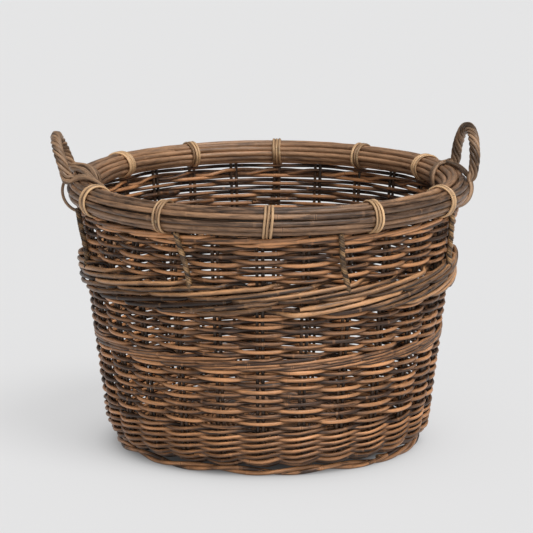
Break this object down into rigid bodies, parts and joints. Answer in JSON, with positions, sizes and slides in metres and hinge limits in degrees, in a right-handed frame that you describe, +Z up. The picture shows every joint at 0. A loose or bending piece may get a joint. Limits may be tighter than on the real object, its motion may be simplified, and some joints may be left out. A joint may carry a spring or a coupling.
{
  "type": "log basket",
  "caption": "Round open log basket of woven willow with a thick lashed rim, a heavy hoop band and two stiff twisted handles.",
  "frame": {"origin": "centre of the base on the floor", "axes": "+Z up; +X through the right handle; the picture's side is -Y"},
  "size_m": [0.7041, 0.6748, 0.5285],
  "materials": {
    "weaving_rod": "matt brown bark",
    "stake_rod": "matt brown bark",
    "base_stick": "matt brown bark",
    "rim_rod": "matt brown bark",
    "hoop_rod": "matt brown bark",
    "lashing": "matt brown bark",
    "handle_rod": "matt brown bark",
    "tie_rod": "matt brown bark"
  },
  "bodies": {
    "root": {"base_sticks_split": "base_stick", "base_sticks_through": "base_stick", "base_weave": "weaving_rod", "foot_ring": "base_stick", "stake_pair_01": "stake_rod", "stake_pair_02": "stake_rod", "stake_pair_03": "stake_rod", "stake_pair_04": "stake_rod", "stake_pair_05": "stake_rod", "stake_pair_06": "stake_rod", "stake_pair_07": "stake_rod", "stake_pair_08": "stake_rod", "stake_pair_09": "stake_rod", "stake_pair_10": "stake_rod", "stake_pair_11": "stake_rod", "stake_pair_12": "stake_rod", "stake_pair_13": "stake_rod", "stake_pair_14": "stake_rod", "stake_pair_15": "stake_rod", "stake_pair_16": "stake_rod", "stake_pair_17": "stake_rod", "stake_pair_18": "stake_rod", "stake_pair_19": "stake_rod", "stake_pair_20": "stake_rod", "stake_pair_21": "stake_rod", "stake_pair_22": "stake_rod", "stake_pair_23": "stake_rod", "stake_pair_24": "stake_rod", "stake_pair_25": "stake_rod", "stake_pair_26": "stake_rod", "bottom_band_outer": "weaving_rod", "bottom_band_inner": "weaving_rod", "lower_weave": "weaving_rod", "mid_band": "weaving_rod", "middle_weave": "weaving_rod", "hoop_wall": "weaving_rod", "hoop_rods_upper": "hoop_rod", "hoop_rods_lower": "hoop_rod", "upper_weave": "weaving_rod", "top_band": "weaving_rod", "rim_core": "rim_rod", "rim_rods_top": "rim_rod", "rim_rods_outer": "rim_rod", "rim_rods_under": "rim_rod", "rim_rods_inner": "rim_rod", "rim_lashings": "lashing", "tie_01": "tie_rod", "tie_02": "tie_rod", "tie_03": "tie_rod", "tie_04": "tie_rod", "tie_05": "tie_rod", "tie_06": "tie_rod", "tie_07": "tie_rod", "handle_bow_left": "handle_rod", "handle_bow_right": "handle_rod", "handle_roping_left": "handle_rod", "handle_roping_right": "handle_rod", "handle_bindings_left": "lashing", "handle_bindings_right": "lashing"}
  },
  "joints": []
}
